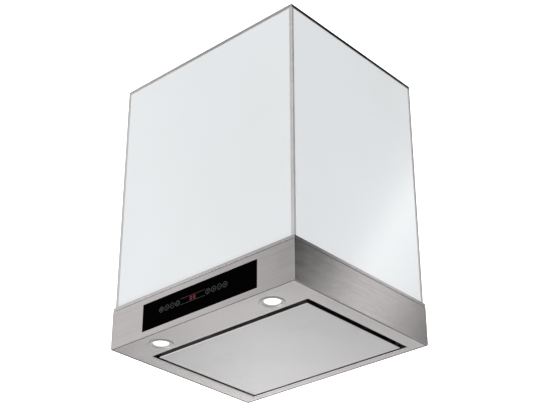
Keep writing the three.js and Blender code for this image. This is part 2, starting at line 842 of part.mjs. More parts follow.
function buildElectrics() {
  const bottom = deckTop + gap;
  const halfWidth = terminalWidth / 2;
  const halfLength = terminalLength / 2;
  const top = terminalHeight;
  const terminalBox = cut(
    block(-halfWidth, halfWidth, -halfLength, halfLength, 0, top),
    block(
      -halfWidth + terminalWall,
      halfWidth - terminalWall,
      -halfLength + terminalWall,
      halfLength - terminalWall,
      -1,
      top - terminalWall,
    ),
    uprightCylinder(glandRadius + gap, top - terminalWall - 1, top + 1, 0, 0, 24),
  );
  const terminalAt = [terminalX(), terminalY(), bottom];
  place("terminal_box", terminalBox, finishes.greyPlastic, terminalAt);
  const gland = turned(
    [
      [glandBore, top - terminalWall - 6],
      [glandRadius, top - terminalWall - 6],
      [glandRadius, top + gap],
      [glandFlangeRadius, top + gap],
      [glandFlangeRadius, top + glandHeight / 3],
      [glandRadius, top + glandHeight / 2],
      [glandRadius, top + glandHeight],
      [glandBore, top + glandHeight],
    ],
    24,
  );
  place("cable_gland", gland, finishes.darkPlastic, terminalAt);
  const driver = new THREE.Shape()
    .moveTo(0, 0)
    .lineTo(driverWidth, 0)
    .lineTo(driverWidth, driverHeight - driverChamfer)
    .lineTo(driverWidth - driverChamfer, driverHeight)
    .lineTo(driverChamfer, driverHeight)
    .lineTo(0, driverHeight - driverChamfer);
  const driverBody = slab(driver, -driverLength / 2, driverLength / 2).rotateX(Math.PI / 2);
  place("lamp_driver", driverBody, finishes.greyPlastic, [sideBoxX, 0, bottom]);
}

buildBase();
buildTower();
buildCarryingFrame();
buildControl();
buildLamps();
buildSuctionPanel();
buildFilters();
buildBlower();
buildCollar();
buildElectrics();

export default hood;
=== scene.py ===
import json
import math

import bmesh
import bpy
from mathutils import Matrix, Vector


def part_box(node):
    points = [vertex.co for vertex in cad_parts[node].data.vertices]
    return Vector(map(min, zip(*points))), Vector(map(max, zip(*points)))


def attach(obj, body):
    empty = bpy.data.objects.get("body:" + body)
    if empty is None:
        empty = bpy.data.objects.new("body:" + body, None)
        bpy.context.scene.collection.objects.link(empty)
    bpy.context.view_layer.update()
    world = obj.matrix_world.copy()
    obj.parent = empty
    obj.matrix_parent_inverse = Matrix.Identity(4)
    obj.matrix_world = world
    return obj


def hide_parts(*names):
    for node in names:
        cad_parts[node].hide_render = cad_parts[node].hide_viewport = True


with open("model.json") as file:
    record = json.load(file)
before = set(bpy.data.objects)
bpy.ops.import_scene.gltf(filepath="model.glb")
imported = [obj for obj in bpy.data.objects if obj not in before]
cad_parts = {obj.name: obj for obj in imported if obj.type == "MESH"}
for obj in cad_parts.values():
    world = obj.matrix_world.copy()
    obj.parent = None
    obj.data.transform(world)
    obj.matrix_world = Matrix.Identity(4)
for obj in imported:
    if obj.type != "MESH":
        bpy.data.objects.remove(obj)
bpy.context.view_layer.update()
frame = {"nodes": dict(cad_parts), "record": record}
nodes = frame["nodes"]
bodyOf = {node: body for body, group in frame["record"]["behaviour"]["bodies"].items() for node in group}
print("frame loaded:", len(nodes), "nodes")

mm = 0.001
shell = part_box("base_shell")
baseBottom = shell[0].z
skin = 1.2 * mm


# shader helpers

def newNode(tree, kind, **settings):
    node = tree.nodes.new(kind)
    for key, value in settings.items():
        setattr(node, key, value)
    return node


def startMaterial(name, colour, metallic, roughness, **sockets):
    mat = bpy.data.materials.new(name)
    mat.use_nodes = True
    mat.diffuse_color = (*colour, 1)
    bsdf = mat.node_tree.nodes["Principled BSDF"]
    bsdf.inputs["Base Color"].default_value = (*colour, 1)
    bsdf.inputs["Metallic"].default_value = metallic
    bsdf.inputs["Roughness"].default_value = roughness
    for key, value in sockets.items():
        bsdf.inputs[key.replace("_", " ")].default_value = value
    return mat, mat.node_tree, bsdf


def objectPattern(tree, scale, offset=(0, 0, 0)):
    coords = newNode(tree, "ShaderNodeTexCoord")
    mapping = newNode(tree, "ShaderNodeMapping")
    mapping.inputs["Location"].default_value = offset
    mapping.inputs["Scale"].default_value = scale
    tree.links.new(coords.outputs["Object"], mapping.inputs["Vector"])
    return mapping.outputs["Vector"]


def noise(tree, scale, detail=3.0, rough=0.55, offset=(0, 0, 0)):
    node = newNode(tree, "ShaderNodeTexNoise")
    node.inputs["Scale"].default_value = 1.0
    node.inputs["Detail"].default_value = detail
    node.inputs["Roughness"].default_value = rough
    tree.links.new(objectPattern(tree, scale, offset), node.inputs["Vector"])
    return node.outputs["Fac"]


def spread(tree, value, low, high, fromLow=0.25, fromHigh=0.75):
    node = newNode(tree, "ShaderNodeMapRange")
    node.inputs["From Min"].default_value = fromLow
    node.inputs["From Max"].default_value = fromHigh
    node.inputs["To Min"].default_value = low
    node.inputs["To Max"].default_value = high
    tree.links.new(value, node.inputs["Value"])
    return node.outputs["Result"]


def multiply(tree, first, second):
    node = newNode(tree, "ShaderNodeMath", operation="MULTIPLY")
    tree.links.new(first, node.inputs[0])
    tree.links.new(second, node.inputs[1])
    return node.outputs[0]


def combine(tree, first, second, share=0.5):
    node = newNode(tree, "ShaderNodeMix", data_type="FLOAT")
    node.inputs["Factor"].default_value = share
    tree.links.new(first, node.inputs["A"])
    tree.links.new(second, node.inputs["B"])
    return node.outputs["Result"]


def colourFrom(tree, value, dark, light):
    ramp = newNode(tree, "ShaderNodeValToRGB")
    ramp.color_ramp.elements[0].position = 0.25
    ramp.color_ramp.elements[1].position = 0.75
    ramp.color_ramp.elements[0].color = (*dark, 1)
    ramp.color_ramp.elements[1].color = (*light, 1)
    tree.links.new(value, ramp.inputs["Fac"])
    return ramp.outputs["Color"]


def roughen(tree, bsdf, height, strength, depth):
    node = newNode(tree, "ShaderNodeBump")
    node.inputs["Strength"].default_value = strength
    node.inputs["Distance"].default_value = depth
    tree.links.new(height, node.inputs["Height"])
    tree.links.new(node.outputs["Normal"], bsdf.inputs["Normal"])


def brushedSteel(name, grain, dark, light, roughness=0.24, stretch=0.85):
    # grain holds 0 along the brushing and 1 across it; a reflection spreads across the brushing
    mat, tree, bsdf = startMaterial(name, light, 1.0, roughness, Anisotropic=stretch)
    across = newNode(tree, "ShaderNodeCombineXYZ")
    turned = newNode(tree, "ShaderNodeVectorTransform", vector_type="VECTOR", convert_from="OBJECT",
                     convert_to="WORLD")
    for socket, part in zip(across.inputs, grain):
        socket.default_value = part
    tree.links.new(across.outputs["Vector"], turned.inputs["Vector"])
    tree.links.new(turned.outputs["Vector"], bsdf.inputs["Tangent"])
    fine = noise(tree, tuple(9 + 5200 * g for g in grain), 2.0, 0.6)
    streak = noise(tree, tuple(2.2 + 620 * g for g in grain), 4.0, 0.7, (3, 7, 1))
    cloud = noise(tree, (7, 7, 9), 3.0, 0.5, (1, 4, 2))
    both = combine(tree, streak, cloud, 0.45)
    tree.links.new(colourFrom(tree, both, dark, light), bsdf.inputs["Base Color"])
    rough = combine(tree, spread(tree, streak, roughness - 0.05, roughness + 0.07),
                    spread(tree, cloud, roughness - 0.05, roughness + 0.06), 0.5)
    tree.links.new(rough, bsdf.inputs["Roughness"])
    roughen(tree, bsdf, combine(tree, fine, streak, 0.35), 0.22, 0.00012)
    return mat


def paintedGlass(name, dark, light, ior=1.5, coat=0.35):
    mat, tree, bsdf = startMaterial(name, light, 0.0, 0.05, IOR=ior, Coat_Weight=coat, Coat_Roughness=0.03)
    backing = noise(tree, (2.6, 2.6, 2.0), 2.0, 0.5)
    tree.links.new(colourFrom(tree, backing, dark, light), bsdf.inputs["Base Color"])
    smear = noise(tree, (14, 14, 5), 4.0, 0.6, (2, 0, 5))
    tree.links.new(spread(tree, smear, 0.03, 0.085), bsdf.inputs["Roughness"])
    wave = noise(tree, (3.5, 3.5, 3.5), 1.0, 0.4, (8, 1, 0))
    roughen(tree, bsdf, wave, 0.08, 0.0006)
    return mat


def zincSheet(name, dark, light, roughness=0.42):
    mat, tree, bsdf = startMaterial(name, light, 0.9, roughness)
    spangle = newNode(tree, "ShaderNodeTexVoronoi")
    spangle.inputs["Scale"].default_value = 1.0
    tree.links.new(objectPattern(tree, (95, 95, 95)), spangle.inputs["Vector"])
    grey = newNode(tree, "ShaderNodeRGBToBW")
    tree.links.new(spangle.outputs["Color"], grey.inputs["Color"])
    dust = noise(tree, (12, 12, 12), 5.0, 0.6)
    blend = combine(tree, grey.outputs["Val"], dust, 0.5)
    tree.links.new(colourFrom(tree, blend, dark, light), bsdf.inputs["Base Color"])
    tree.links.new(spread(tree, grey.outputs["Val"], roughness - 0.1, roughness + 0.12, 0.1, 0.9),
                   bsdf.inputs["Roughness"])
    roughen(tree, bsdf, dust, 0.15, 0.0004)
    return mat


def grainyCoat(name, dark, light, roughness, size, metallic=0.0, depth=0.00015):
    mat, tree, bsdf = startMaterial(name, light, metallic, roughness)
    grit = noise(tree, (size, size, size), 2.0, 0.6)
    cloud = noise(tree, (18, 18, 18), 4.0, 0.55, (4, 2, 9))
    shade = colourFrom(tree, combine(tree, grit, cloud, 0.6), dark, light)
    tree.links.new(shade, bsdf.inputs["Base Color"])
    tree.links.new(spread(tree, cloud, roughness - 0.08, roughness + 0.1), bsdf.inputs["Roughness"])
    roughen(tree, bsdf, grit, 0.35, depth)
    return mat


def litLens(name, centre, colour, strength):
    mat, tree, bsdf = startMaterial(name, (0.55, 0.55, 0.54), 0.0, 0.25)
    away = newNode(tree, "ShaderNodeVectorMath", operation="DISTANCE")
    coords = newNode(tree, "ShaderNodeTexCoord")
    away.inputs[1].default_value = centre
    tree.links.new(coords.outputs["Object"], away.inputs[0])
    glow = spread(tree, away.outputs["Value"], strength, strength * 0.16, 0.012, 0.0205)
    frost = noise(tree, (700, 700, 700), 2.0, 0.6)
    uneven = multiply(tree, glow, spread(tree, frost, 0.93, 1.05))
    tree.links.new(uneven, bsdf.inputs["Emission Strength"])
    bsdf.inputs["Emission Color"].default_value = (*colour, 1)
    roughen(tree, bsdf, frost, 0.3, 0.0003)
    return mat


def glowingMark(name, colour, strength):
    mat, tree, bsdf = startMaterial(name, colour, 0.0, 0.4)
    bsdf.inputs["Emission Color"].default_value = (*colour, 1)
    uneven = noise(tree, (900, 900, 900), 2.0, 0.5)
    tree.links.new(spread(tree, uneven, strength * 0.8, strength * 1.15), bsdf.inputs["Emission Strength"])
    return mat


finish = {
    "skins": brushedSteel("skin_steel", (0, 0, 1), (0.47, 0.446, 0.440), (0.60, 0.572, 0.566), 0.19, 0.95),
    "underside": brushedSteel("underside_steel", (0, 1, 0), (0.42, 0.40, 0.396), (0.54, 0.516, 0.511),
                              0.22),
    "panel": brushedSteel("panel_steel", (0, 1, 0), (0.41, 0.40, 0.402), (0.58, 0.567, 0.57), 0.22),
    "trim": brushedSteel("trim_steel", (1, 1, 0), (0.56, 0.55, 0.545), (0.70, 0.685, 0.68), 0.26),
    "rail": brushedSteel("rail_steel", (0, 0, 1), (0.46, 0.44, 0.435), (0.58, 0.557, 0.55), 0.2, 0.95),
    "lip": brushedSteel("lip_steel", (0, 0, 1), (0.50, 0.48, 0.475), (0.62, 0.598, 0.593), 0.2, 0.95),
    "lampRing": brushedSteel("lamp_ring_steel", (1, 1, 1), (0.50, 0.49, 0.48), (0.62, 0.61, 0.60), 0.38),
    "whiteGlass": paintedGlass("white_glass", (0.845, 0.86, 0.872), (0.885, 0.91, 0.925)),
    "blackGlass": paintedGlass("black_glass", (0.0003, 0.0003, 0.0004), (0.0008, 0.0008, 0.0010), 1.03, 0.0),
    "zinc": zincSheet("zinc_sheet", (0.34, 0.355, 0.36), (0.56, 0.575, 0.58)),
    "blackPaint": grainyCoat("black_powder_coat", (0.010, 0.010, 0.011), (0.026, 0.026, 0.028), 0.5, 900),
    "darkPlastic": grainyCoat("dark_plastic", (0.018, 0.019, 0.021), (0.038, 0.040, 0.044), 0.48, 1400),
    "greyPlastic": grainyCoat("grey_plastic", (0.30, 0.31, 0.32), (0.40, 0.41, 0.42), 0.5, 1200),
    "alloy": brushedSteel("aluminium_sheet", (1, 0, 0), (0.60, 0.605, 0.61), (0.76, 0.765, 0.77), 0.34),
    "alloyMesh": grainyCoat("aluminium_mesh", (0.50, 0.505, 0.51), (0.78, 0.785, 0.79), 0.34, 500, 1.0),
    # dark colour of the packed mesh layers, which also paints the shade between them
    "meshLayersAndShade": grainyCoat("packed_mesh_and_painted_shade", (0.06, 0.062, 0.065), (0.30, 0.305, 0.31), 0.5, 420, 0.9, 0.0012),
    "groundSteel": brushedSteel("ground_steel", (1, 0, 0), (0.52, 0.52, 0.53), (0.70, 0.70, 0.71), 0.2),
    "screw": grainyCoat("screw_steel", (0.42, 0.42, 0.42), (0.62, 0.62, 0.63), 0.32, 1600, 1.0, 0.00005),
    # printed key marks with a faint painted glow
    "keyPrintGlow": glowingMark("key_mark", (0.085, 0.088, 0.09), 0.02),
    "digits": glowingMark("display_red", (0.30, 0.012, 0.018), 0.06),
}
print("materials made:", len(finish))


# mesh helpers

pieces = []


def keepPiece(name, bm, mat, body="hood", replaced=(), smooth=30):
    mesh = bpy.data.meshes.new(name)
    bm.to_mesh(mesh)
    bm.free()
    mesh.materials.append(mat)
    piece = bpy.data.objects.new(name, mesh)
    bpy.context.scene.collection.objects.link(piece)
    mesh.shade_smooth()
    mesh.set_sharp_from_angle(angle=math.radians(smooth))
    pieces.append(piece)
    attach(piece, body)
    if replaced:
        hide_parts(*replaced)
    return piece


def addSheet(piece, thickness, offset=-1.0):
    wall = piece.modifiers.new("wall", "SOLIDIFY")
    wall.thickness = thickness
    wall.offset = offset
    wall.use_even_offset = True


def addSoftEdges(piece, width, segments=2):
    edges = piece.modifiers.new("edges", "BEVEL")
    edges.width = width
    edges.segments = segments
    edges.limit_method = "ANGLE"
    edges.angle_limit = math.radians(35)
    edges.harden_normals = False


def roundEdges(bm, edges, width, segments=3):
    bmesh.ops.bevel(bm, geom=list(edges), offset=width, offset_type="OFFSET", segments=segments, profile=0.5,
                    affect="EDGES", clamp_overlap=True, material=-1)


def sharpEdges(bm, degrees=40):
    return [e for e in bm.edges if len(e.link_faces) == 2 and e.calc_face_angle(0) > math.radians(degrees)]


def blockMesh(low, high):
    bm = bmesh.new()
    bmesh.ops.create_cube(bm, size=1)
    low, high = Vector(low), Vector(high)
    bmesh.ops.scale(bm, vec=high - low, verts=bm.verts)
    bmesh.ops.translate(bm, vec=(low + high) / 2, verts=bm.verts)
    return bm


def softened(node, mat, width=0.4 * mm, segments=2, name=None):
    # a welded copy of a CAD node with its flat faces joined and its edges rounded
    bm = bmesh.new()
    bm.from_mesh(nodes[node].data)
    bmesh.ops.remove_doubles(bm, verts=bm.verts, dist=0.00001)
    bmesh.ops.dissolve_limit(bm, angle_limit=math.radians(1.0), verts=bm.verts, edges=bm.edges)
    roundEdges(bm, sharpEdges(bm, 50), width, segments)
    return keepPiece(name or node + "_body", bm, mat, bodyOf[node], [node])


def spun(profile, axisPoint, steps=96):
    # profile holds (radius, height) pairs of a closed outline
    bm = bmesh.new()
    verts = [bm.verts.new((radius * mm, 0, height * mm)) for radius, height in profile]
    edges = [bm.edges.new((verts[i], verts[(i + 1) % len(verts)])) for i in range(len(verts))]
    bmesh.ops.spin(bm, geom=verts + edges, cent=(0, 0, 0), axis=(0, 0, 1), angle=2 * math.pi, steps=steps,
                   use_merge=True, use_duplicate=False)
    bmesh.ops.remove_doubles(bm, verts=bm.verts, dist=0.000002)
    bmesh.ops.recalc_face_normals(bm, faces=bm.faces)
    bmesh.ops.transform(bm, matrix=Matrix.Translation(axisPoint), verts=bm.verts)
    return bm


def stripWithHoles(outer, holes, z):
    # a flat sheet: outer is a list of corners, holes are (centre, radius) rounds or lists of corners
    bm = bmesh.new()
    loops = [outer] + [h for h in holes if isinstance(h, list)]
    for corners in loops:
        verts = [bm.verts.new((x, y, z)) for x, y in corners]
        for i, vert in enumerate(verts):
            bm.edges.new((vert, verts[(i + 1) % len(verts)]))
    for hole in holes:
        if isinstance(hole, tuple):
            (x, y), radius = hole
            bmesh.ops.create_circle(bm, cap_ends=False, segments=64, radius=radius,
                                    matrix=Matrix.Translation((x, y, z)))
    bmesh.ops.triangle_fill(bm, use_beauty=True, use_dissolve=False, edges=bm.edges, normal=(0, 0, -1))
    bmesh.ops.recalc_face_normals(bm, faces=bm.faces)
    if bm.faces[:][0].normal.z > 0:
        bmesh.ops.reverse_faces(bm, faces=bm.faces)
    return bm


def corners(x0, x1, y0, y1):
    return [(x0, y0), (x1, y0), (x1, y1), (x0, y1)]


def boundaryAt(bm, test):
    return [e for e in bm.edges if e.is_boundary and all(test(v.co) for v in e.verts)]


def pullEdges(bm, edges, move):
    grown = bmesh.ops.extrude_edge_only(bm, edges=edges)["geom"]
    verts = [g for g in grown if isinstance(g, bmesh.types.BMVert)]
    bmesh.ops.translate(bm, vec=move, verts=verts)
    return verts


# base: skins, underside, lip and deck

baseSizes = {"cornerRadius": 0.5 * mm, "foldRadius": 0.8 * mm, "openingFold": 2.4 * mm,
             "seam": 3.1 * mm, "groove": 1.5 * mm, "flange": 12 * mm, "windowPlay": 0.3 * mm,
             "lipBorder": 12.6 * mm, "topBorder": 8.4 * mm, "gapShadeDepth": 0.7 * mm, "gapShadeTall": 5 * mm}


def makeSkins():
    low, high = shell
    bm = blockMesh(low, high)
    caps = [f for f in bm.faces if abs(f.normal.z) > 0.5]
    bmesh.ops.delete(bm, geom=caps, context="FACES_ONLY")
    upright = [e for e in bm.edges if abs(e.verts[0].co.z - e.verts[1].co.z) > 0.01]
    roundEdges(bm, upright, baseSizes["cornerRadius"], 4)
    glassLow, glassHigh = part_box("control_glass")
    play = baseSizes["windowPlay"]
    cuts = [((glassLow.x - play, 0, 0), (1, 0, 0)), ((glassHigh.x + play, 0, 0), (1, 0, 0)),
            ((0, 0, glassLow.z - play), (0, 0, 1)), ((0, 0, glassHigh.z + play), (0, 0, 1))]
    for point, normal in cuts:
        front = [f for f in bm.faces if f.normal.y < -0.9]
        geom = front + list({e for f in front for e in f.edges}) + list({v for f in front for v in f.verts})
        bmesh.ops.bisect_plane(bm, geom=geom, plane_co=point, plane_no=normal, dist=0.000001)
    middle = (glassLow + glassHigh) / 2
    window = [f for f in bm.faces if f.normal.y < -0.9 and abs(f.calc_center_median().x - middle.x) < 0.01
              and abs(f.calc_center_median().z - middle.z) < 0.01]
    bmesh.ops.delete(bm, geom=window, context="FACES")
    topEdges = boundaryAt(bm, lambda co: co.z > high.z - 0.0001)
    flange = pullEdges(bm, topEdges, (0, 0, 0))
    shrink = lambda reach: Vector(((high.x - reach) / high.x, (high.y - reach) / high.y, 1))
    bmesh.ops.scale(bm, vec=shrink(baseSizes["flange"]), verts=flange)
    piece = keepPiece("side_skins", bm, finish["skins"], replaced=["base_shell"])
    addSheet(piece, skin)
    addSoftEdges(piece, 0.42 * mm, 3)


def makeUnderside():
    low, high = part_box("bottom_frame")
    opening = openingBox()
    rings = [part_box("lamp_ring_" + side) for side in ("left", "right")]
    holes = [corners(*opening)]
    for ringLow, ringHigh in rings:
        holes.append((((ringLow.x + ringHigh.x) / 2, (ringLow.y + ringHigh.y) / 2), 27 * mm))
    seam = baseSizes["seam"]
    bm = stripWithHoles(corners(low.x + seam, high.x - seam, low.y + seam, high.y - seam), holes, low.z)
    left, right, front, back = opening

    def inside(co):
        return left - mm < co.x < right + mm and front - mm < co.y < back + mm

    outerEdges = boundaryAt(bm, lambda co: abs(co.x) > high.x - 0.002 or abs(co.y) > high.y - 0.002)
    openingEdges = boundaryAt(bm, inside)
    pullEdges(bm, outerEdges, (0, 0, baseSizes["flange"]))
    pullEdges(bm, openingEdges, (0, 0, high.z - low.z))
    inner = lambda edge: all(inside(v.co) for v in edge.verts)
    roundEdges(bm, [e for e in sharpEdges(bm, 50) if inner(e)], baseSizes["openingFold"], 5)
    roundEdges(bm, [e for e in sharpEdges(bm, 50) if not inner(e)], baseSizes["foldRadius"], 4)
    piece = keepPiece("underside_frame", bm, finish["underside"], replaced=["bottom_frame"])
    addSheet(piece, skin)
    addSoftEdges(piece, 0.25 * mm, 1)


def makeGapShadeStrip():
    # dark strip in the groove between skins and underside: a sealing joint that also paints the shade deep in the
    # gap
    low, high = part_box("bottom_frame")
    reach = baseSizes["seam"]
    shape = stripWithHoles(corners(low.x, high.x, low.y, high.y),
                           [corners(low.x + reach, high.x - reach, low.y + reach, high.y - reach)],
                           low.z + baseSizes["gapShadeDepth"])
    grown = bmesh.ops.extrude_face_region(shape, geom=list(shape.faces))["geom"]
    bmesh.ops.translate(shape, vec=(0, 0, baseSizes["gapShadeTall"]),
                        verts=[g for g in grown if isinstance(g, bmesh.types.BMVert)])
    bmesh.ops.recalc_face_normals(shape, faces=shape.faces)
    keepPiece("underside_gap_shade_strip", shape, finish["darkPlastic"])


def openingBox():
    panelLow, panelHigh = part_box("suction_panel")
    room = 13 * mm
    return panelLow.x - room, panelHigh.x + room, panelLow.y - room, panelHigh.y + room


def makeFlatRing(name, node, border, mat, rounding, lift=0.0):
    low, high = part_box(node)
    low = low + Vector((0, 0, lift))
    inner = corners(low.x + border, high.x - border, low.y + border, high.y - border)
    bm = stripWithHoles(corners(low.x, high.x, low.y, high.y), [inner], low.z)
    faces = bmesh.ops.extrude_face_region(bm, geom=list(bm.faces))["geom"]
    bmesh.ops.translate(bm, vec=(0, 0, high.z - low.z),
                        verts=[g for g in faces if isinstance(g, bmesh.types.BMVert)])
    bmesh.ops.recalc_face_normals(bm, faces=bm.faces)
    roundEdges(bm, sharpEdges(bm, 50), rounding, 3)
    return keepPiece(name, bm, mat, replaced=[node])


makeSkins()
makeUnderside()
makeGapShadeStrip()
makeFlatRing("lip_band", "lip_rail", baseSizes["lipBorder"], finish["lip"], 0.6 * mm, baseSizes["groove"])
makeFlatRing("top_band", "top_rail", baseSizes["topBorder"], finish["rail"], 0.7 * mm)
softened("base_deck", finish["zinc"], 0.3 * mm, 1)
print("base made")


# glass tower

def makeGlass():
    for side in ("front", "back", "left", "right"):
        node = "glass_panel_" + side
        low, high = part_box(node)
        bm = blockMesh(low, high)
        roundEdges(bm, list(bm.edges), 0.7 * mm, 3)
        keepPiece("white_" + side + "_glass", bm, finish["whiteGlass"], replaced=[node])
    for end in ("front", "back"):
        for side in ("left", "right"):
            softened("corner_post_" + end + "_" + side, finish["trim"], 0.6 * mm, 3)


makeGlass()
print("tower made")


# touch control

controlSizes = {"keyPitch": 18.4 * mm, "keyRadius": 7.2 * mm, "keyLine": 0.75 * mm, "rowRise": 4 * mm,
                "rowShift": -17 * mm, "displayWide": 84 * mm, "displayTall": 15 * mm, "digitWide": 7.4 * mm,
                "digitTall": 9.5 * mm, "markProud": 0.12 * mm}


def makeControlGlass():
    low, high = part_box("control_glass")
    low = low + Vector((0, 0.2 * mm, 0))
    bm = blockMesh(low, high)
    roundEdges(bm, list(bm.edges), 0.5 * mm, 3)
    keepPiece("touch_glass", bm, finish["blackGlass"], replaced=["control_glass"])


def bar(bm, x0, x1, z0, z1, y):
    made = bmesh.ops.create_cube(bm, size=1)["verts"]
    depth = controlSizes["markProud"]
    bmesh.ops.scale(bm, vec=(x1 - x0, depth, z1 - z0), verts=made)
    bmesh.ops.translate(bm, vec=((x0 + x1) / 2, y, (z0 + z1) / 2), verts=made)
    return made


def tilted(bm, verts, centre, degrees):
    spin = Matrix.Rotation(math.radians(degrees), 3, "Y")
    bmesh.ops.rotate(bm, cent=centre, matrix=spin, verts=verts)


def hoop(bm, x, z, radius, line, y, sweep=360, start=0, segments=40):
    # a thin flat ring, or a part of one, that stands on the glass
    depth = controlSizes["markProud"]
    shape = [(radius - line, -depth / 2), (radius, -depth / 2), (radius, depth / 2), (radius - line, depth / 2)]
    direction = math.radians(start)
    verts = [bm.verts.new((x + r * math.cos(direction), y + d, z + r * math.sin(direction))) for r, d in shape]
    edges = [bm.edges.new((verts[i], verts[(i + 1) % 4])) for i in range(4)]
    full = sweep >= 360
    steps = max(6, int(segments * sweep / 360))
    bmesh.ops.spin(bm, geom=verts + edges, cent=(x, y, z), axis=(0, -1, 0), angle=math.radians(sweep), steps=steps,
                   use_merge=full, use_duplicate=False)


def makeKeys():
    low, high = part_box("control_glass")
    y = low.y + 0.14 * mm
    midZ = (low.z + high.z) / 2 + controlSizes["rowRise"]
    midX = (low.x + high.x) / 2 + controlSizes["rowShift"]
    pitch, radius, line = controlSizes["keyPitch"], controlSizes["keyRadius"], controlSizes["keyLine"]
    half = controlSizes["displayWide"] / 2
    bm = bmesh.new()
    steps = [pitch * (0.45 + i) for i in range(4)]
    keys = [midX - half - step for step in steps] + [midX + half + step for step in steps]
    for index, x in enumerate(keys):
        hoop(bm, x, midZ, radius, line, y)
        arm = radius * 0.45
        thin = line * 0.8
        if index == 0:  # on and off
            hoop(bm, x, midZ, radius * 0.5, thin, y, 290, 125, 30)
            bar(bm, x - thin / 2, x + thin / 2, midZ + radius * 0.1, midZ + radius * 0.62, y)
        elif index in (1, 6):  # less
            bar(bm, x - arm, x + arm, midZ - thin / 2, midZ + thin / 2, y)
        elif index in (2, 5):  # more
            bar(bm, x - arm, x + arm, midZ - thin / 2, midZ + thin / 2, y)
            bar(bm, x - thin / 2, x + thin / 2, midZ - arm, midZ + arm, y)
        elif index == 3:  # timer
            hoop(bm, x, midZ, radius * 0.52, thin, y, 360, 0, 24)
            bar(bm, x - thin / 2, x + thin / 2, midZ, midZ + radius * 0.42, y)
            bar(bm, x, x + radius * 0.3, midZ - thin / 2, midZ + thin / 2, y)
        elif index == 4:  # lamp
            hoop(bm, x, midZ + radius * 0.12, radius * 0.36, thin, y, 280, -50, 24)
            bar(bm, x - radius * 0.2, x + radius * 0.2, midZ - radius * 0.42, midZ - radius * 0.42 + thin, y)
        else:  # fan blades
            for turn in range(4):
                blade = bar(bm, x - thin / 2, x + thin / 2, midZ + thin, midZ + radius * 0.55, y)
                tilted(bm, blade, (x, y, midZ), 45 + 90 * turn)
    tall = controlSizes["displayTall"] / 2
    inner = half - pitch * 0.05
    for sign in (-1, 1):
        bar(bm, midX - inner, midX + inner, midZ + sign * tall - line / 3, midZ + sign * tall + line / 3, y)
    bmesh.ops.recalc_face_normals(bm, faces=bm.faces)
    keepPiece("key_marks", bm, finish["keyPrintGlow"])
    digits = bmesh.new()
    segment(digits, midX - controlSizes["digitWide"] * 0.75, midZ, "abcdefg", y)
    segment(digits, midX + controlSizes["digitWide"] * 0.75, midZ, "abcdefg", y)
    bmesh.ops.recalc_face_normals(digits, faces=digits.faces)
    keepPiece("display_digits", digits, finish["digits"])


def segment(bm, x, z, lit, y):
    wide, tall, thick = controlSizes["digitWide"] / 2, controlSizes["digitTall"] / 2, 1.1 * mm
    spans = {
        "a": (x - wide * 0.75, x + wide * 0.75, z + tall - thick, z + tall),
        "b": (x + wide - thick, x + wide, z + thick * 0.7, z + tall - thick * 0.5),
        "c": (x + wide - thick, x + wide, z - tall + thick * 0.5, z - thick * 0.7),
        "d": (x - wide * 0.75, x + wide * 0.75, z - tall, z - tall + thick),
        "e": (x - wide, x - wide + thick, z - tall + thick * 0.5, z - thick * 0.7),
        "f": (x - wide, x - wide + thick, z + thick * 0.7, z + tall - thick * 0.5),
        "g": (x - wide * 0.75, x + wide * 0.75, z - thick / 2, z + thick / 2),
    }
    for letter in lit:
        bar(bm, *spans[letter], y)


makeControlGlass()
makeKeys()
softened("control_housing", finish["darkPlastic"], 1.2 * mm, 3)
print("touch control made")


# lamps

lampSizes = {"flange": 30.3, "flangeThick": 1.2, "bore": 25.2, "window": 21.0, "seat": 3.0, "sleeve": 26.7,
             "sleeveBore": 23.3, "depth": 10.0}


def makeLamps():
    s = lampSizes
    gap = 0.3
    face = -gap - s["flangeThick"]
    profile = [(s["flange"], -gap), (s["flange"], face + 0.5), (s["flange"] - 0.15, face + 0.15),
               (s["flange"] - 0.5, face), (s["bore"] + 0.9, face), (s["bore"] + 0.35, face + 0.12),
               (s["bore"], face + 0.5), (s["bore"] - 0.7, face + 1.7), (s["window"] + 1.4, s["seat"] - 1.3),
               (s["window"] + 0.3, s["seat"] - 0.55), (s["window"], s["seat"] - 0.3), (s["window"], s["seat"]),
               (s["sleeveBore"], s["seat"]), (s["sleeveBore"], s["depth"]), (s["sleeve"], s["depth"]),
               (s["sleeve"], -gap)]
    for side in ("left", "right"):
        low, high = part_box("lamp_ring_" + side)
        centre = Vector(((low.x + high.x) / 2, (low.y + high.y) / 2, baseBottom))
        ring = spun(profile, centre)
        keepPiece("lamp_bezel_" + side, ring, finish["lampRing"], replaced=["lamp_ring_" + side])
        lensLow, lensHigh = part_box("lamp_lens_" + side)
        bottom = (lensLow.z - baseBottom) / mm
        dome = [(0.001, bottom + 2.0), (0.001, bottom + 0.25), (6, bottom + 0.18), (12, bottom + 0.1),
                (22.4, bottom), (22.9, bottom + 0.3), (23.0, bottom + 0.6), (23.0, bottom + 2.0)]
        lens = spun(dome, centre)
        glow = litLens("lamp_glow_" + side, (centre.x, centre.y, lensLow.z), (1.0, 0.985, 0.95), 1.9)
        keepPiece("lamp_glass_" + side, lens, glow, replaced=["lamp_lens_" + side])
        softened("lamp_housing_" + side, finish["alloy"], 0.5 * mm, 2)


makeLamps()
print("lamps made")


# suction panel with its hinges and magnets

